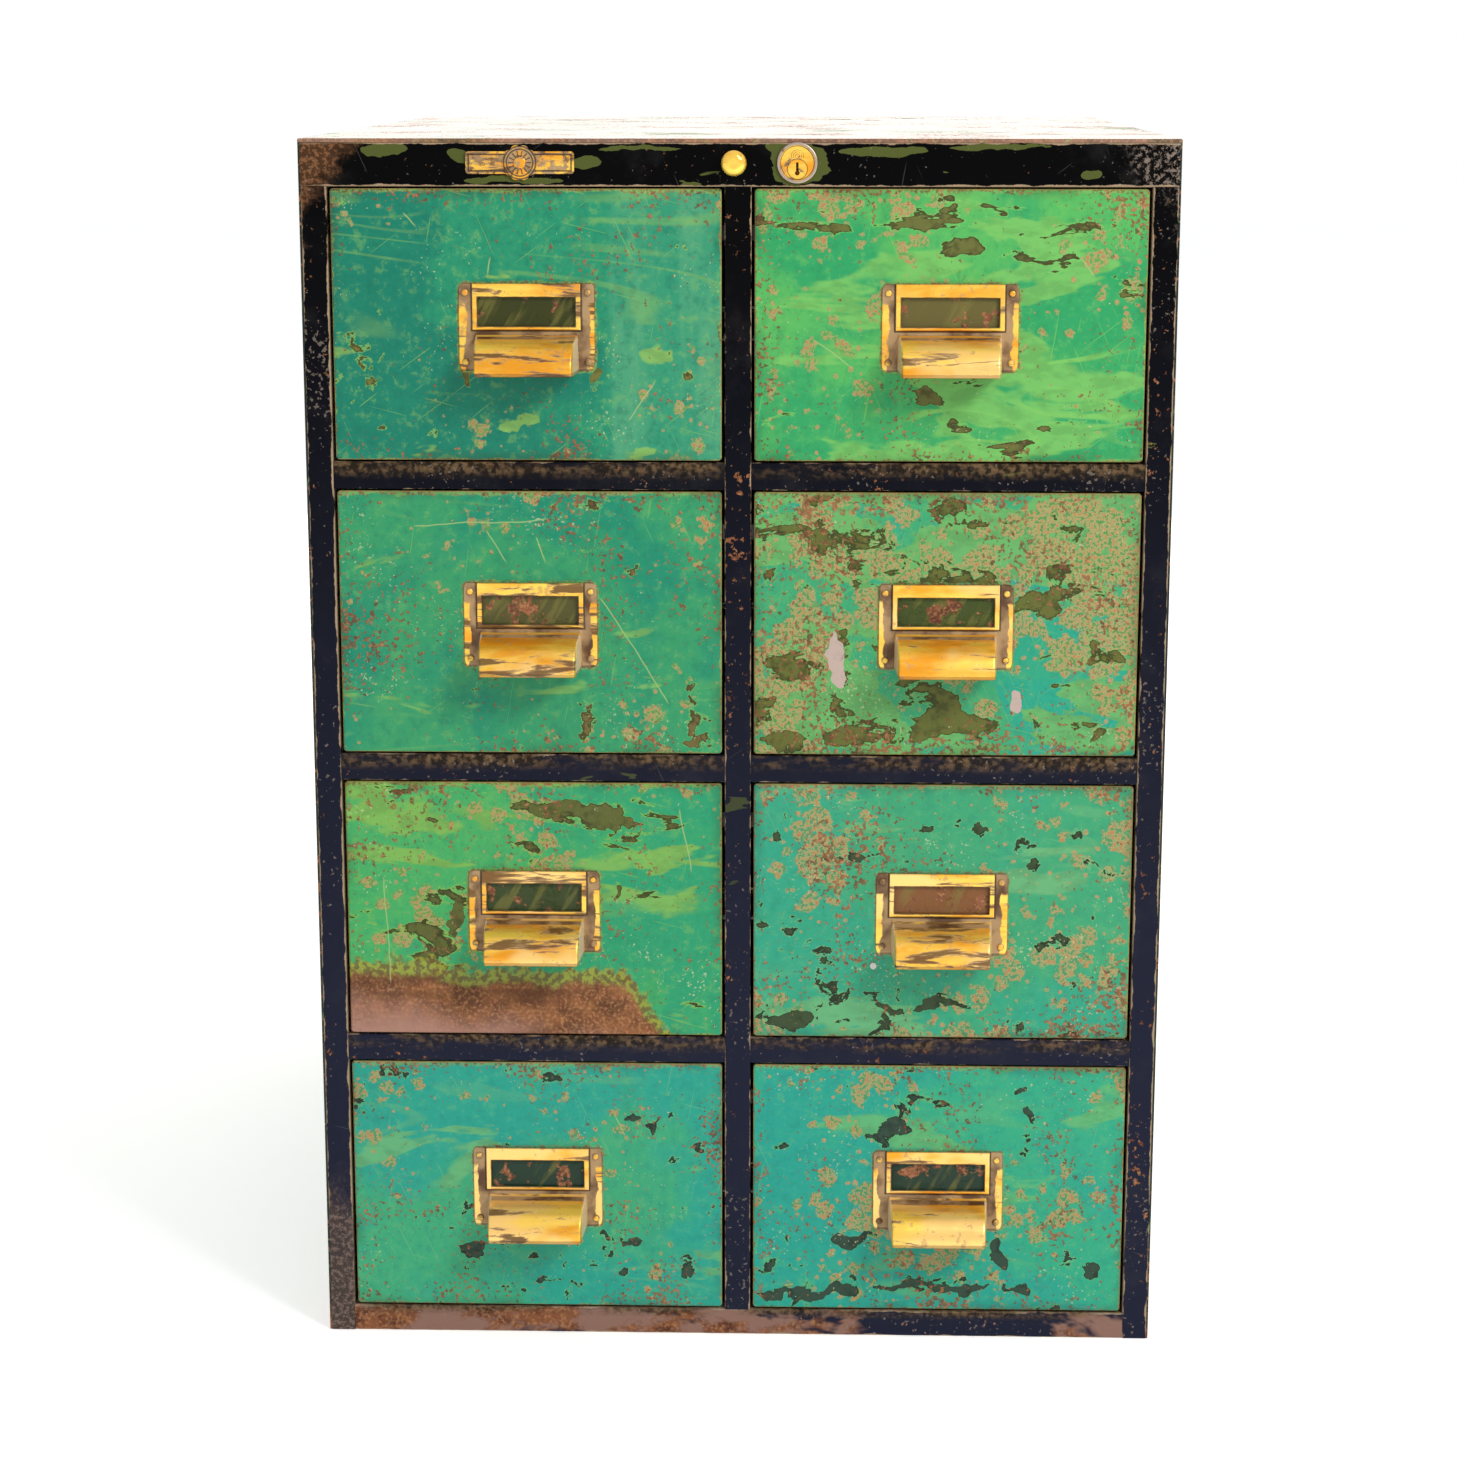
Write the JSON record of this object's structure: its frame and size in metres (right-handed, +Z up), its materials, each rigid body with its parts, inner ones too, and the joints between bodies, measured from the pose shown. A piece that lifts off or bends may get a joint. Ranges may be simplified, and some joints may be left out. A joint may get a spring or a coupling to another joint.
{
  "type": "metal filing cabinet",
  "caption": "Two-column steel card-filing cabinet with worn green drawers, brass label pulls, a push-button gang lock, and trays with followers on channel runners.",
  "frame": {"origin": "on the floor, at the centre of the whole object's outline, pulls included", "axes": "+Z up; the drawer fronts face -Y; +X is to the right of a person facing the drawers"},
  "size_m": [0.56, 0.7332, 0.805],
  "materials": {
    "case_green": "worn gloss paint",
    "frame_black": "worn gloss paint",
    "drawer_green": "worn gloss paint",
    "tray_steel": "satin paint",
    "bare_steel": "dull",
    "spring_steel": "oiled",
    "zinc": "zinc plated",
    "brass": "worn polish with patina",
    "nickel": "dull nickel plate"
  },
  "bodies": {
    "case": {"left_side_panel": "case_green", "right_side_panel": "case_green", "top_panel": "case_green", "back_panel": "case_green", "back_panel_screws": "zinc", "base_pan": "case_green", "front_stiles": "frame_black", "mullion": "frame_black", "top_rail": "frame_black", "bottom_rail": "frame_black", "cross_rails": "frame_black", "drawer_runners": "bare_steel", "rear_posts": "case_green", "nameplate": "brass", "lock_cylinder": "brass", "lock_ring": "nickel", "lock_spring": "spring_steel"},
    "lock_plug": {"lock_plug": "brass"},
    "lock_button": {"lock_button": "brass"},
    "lock_bar": {"lock_bar": "bare_steel"},
    "drawer_left_1": {"drawer_left_1_front": "drawer_green", "drawer_left_1_tray": "tray_steel", "drawer_left_1_pull": "brass", "drawer_left_1_pull_rivets": "brass"},
    "drawer_left_1_follower": {"drawer_left_1_follower": "bare_steel"},
    "drawer_left_2": {"drawer_left_2_front": "drawer_green", "drawer_left_2_tray": "tray_steel", "drawer_left_2_pull": "brass", "drawer_left_2_pull_rivets": "brass"},
    "drawer_left_2_follower": {"drawer_left_2_follower": "bare_steel"},
    "drawer_left_3": {"drawer_left_3_front": "drawer_green", "drawer_left_3_tray": "tray_steel", "drawer_left_3_pull": "brass", "drawer_left_3_pull_rivets": "brass"},
    "drawer_left_3_follower": {"drawer_left_3_follower": "bare_steel"},
    "drawer_left_4": {"drawer_left_4_front": "drawer_green", "drawer_left_4_tray": "tray_steel", "drawer_left_4_pull": "brass", "drawer_left_4_pull_rivets": "brass"},
    "drawer_left_4_follower": {"drawer_left_4_follower": "bare_steel"},
    "drawer_right_1": {"drawer_right_1_front": "drawer_green", "drawer_right_1_tray": "tray_steel", "drawer_right_1_pull": "brass", "drawer_right_1_pull_rivets": "brass"},
    "drawer_right_1_follower": {"drawer_right_1_follower": "bare_steel"},
    "drawer_right_2": {"drawer_right_2_front": "drawer_green", "drawer_right_2_tray": "tray_steel", "drawer_right_2_pull": "brass", "drawer_right_2_pull_rivets": "brass"},
    "drawer_right_2_follower": {"drawer_right_2_follower": "bare_steel"},
    "drawer_right_3": {"drawer_right_3_front": "drawer_green", "drawer_right_3_tray": "tray_steel", "drawer_right_3_pull": "brass", "drawer_right_3_pull_rivets": "brass"},
    "drawer_right_3_follower": {"drawer_right_3_follower": "bare_steel"},
    "drawer_right_4": {"drawer_right_4_front": "drawer_green", "drawer_right_4_tray": "tray_steel", "drawer_right_4_pull": "brass", "drawer_right_4_pull_rivets": "brass"},
    "drawer_right_4_follower": {"drawer_right_4_follower": "bare_steel"}
  },
  "joints": [
    {"name": "lock_plug_turn", "type": "hinge", "parent": "case", "child": "lock_plug", "pos_m": [0.0375, -0.3334, 0.7861], "axis": [0, 1, 0], "range_deg": [0, 90]},
    {"name": "lock_bar_drop", "type": "slide", "parent": "case", "child": "lock_bar", "axis": [0, 0, -1], "range_m": [0, 0.008], "stiffness_N_per_m": 400, "springref_m": -0.006, "deforming": ["lock_spring"]},
    {"name": "lock_button_push", "type": "slide", "parent": "case", "child": "lock_button", "axis": [0, 1, 0], "range_m": [0, 0.008]},
    {"name": "drawer_left_1_slide", "type": "slide", "parent": "case", "child": "drawer_left_1", "axis": [0, -1, 0], "range_m": [0, 0.56]},
    {"name": "drawer_left_1_follower_slide", "type": "slide", "parent": "drawer_left_1", "child": "drawer_left_1_follower", "axis": [0, -1, 0], "range_m": [0, 0.48]},
    {"name": "drawer_left_2_slide", "type": "slide", "parent": "case", "child": "drawer_left_2", "axis": [0, -1, 0], "range_m": [0, 0.56]},
    {"name": "drawer_left_2_follower_slide", "type": "slide", "parent": "drawer_left_2", "child": "drawer_left_2_follower", "axis": [0, -1, 0], "range_m": [0, 0.48]},
    {"name": "drawer_left_3_slide", "type": "slide", "parent": "case", "child": "drawer_left_3", "axis": [0, -1, 0], "range_m": [0, 0.56]},
    {"name": "drawer_left_3_follower_slide", "type": "slide", "parent": "drawer_left_3", "child": "drawer_left_3_follower", "axis": [0, -1, 0], "range_m": [0, 0.48]},
    {"name": "drawer_left_4_slide", "type": "slide", "parent": "case", "child": "drawer_left_4", "axis": [0, -1, 0], "range_m": [0, 0.56]},
    {"name": "drawer_left_4_follower_slide", "type": "slide", "parent": "drawer_left_4", "child": "drawer_left_4_follower", "axis": [0, -1, 0], "range_m": [0, 0.48]},
    {"name": "drawer_right_1_slide", "type": "slide", "parent": "case", "child": "drawer_right_1", "axis": [0, -1, 0], "range_m": [0, 0.56]},
    {"name": "drawer_right_1_follower_slide", "type": "slide", "parent": "drawer_right_1", "child": "drawer_right_1_follower", "axis": [0, -1, 0], "range_m": [0, 0.48]},
    {"name": "drawer_right_2_slide", "type": "slide", "parent": "case", "child": "drawer_right_2", "axis": [0, -1, 0], "range_m": [0, 0.56]},
    {"name": "drawer_right_2_follower_slide", "type": "slide", "parent": "drawer_right_2", "child": "drawer_right_2_follower", "axis": [0, -1, 0], "range_m": [0, 0.48]},
    {"name": "drawer_right_3_slide", "type": "slide", "parent": "case", "child": "drawer_right_3", "axis": [0, -1, 0], "range_m": [0, 0.56]},
    {"name": "drawer_right_3_follower_slide", "type": "slide", "parent": "drawer_right_3", "child": "drawer_right_3_follower", "axis": [0, -1, 0], "range_m": [0, 0.48]},
    {"name": "drawer_right_4_slide", "type": "slide", "parent": "case", "child": "drawer_right_4", "axis": [0, -1, 0], "range_m": [0, 0.56]},
    {"name": "drawer_right_4_follower_slide", "type": "slide", "parent": "drawer_right_4", "child": "drawer_right_4_follower", "axis": [0, -1, 0], "range_m": [0, 0.48]}
  ],
  "couplings": [
    {"joint": "lock_button_push", "follows": "lock_bar_drop", "ratio": 1}
  ]
}
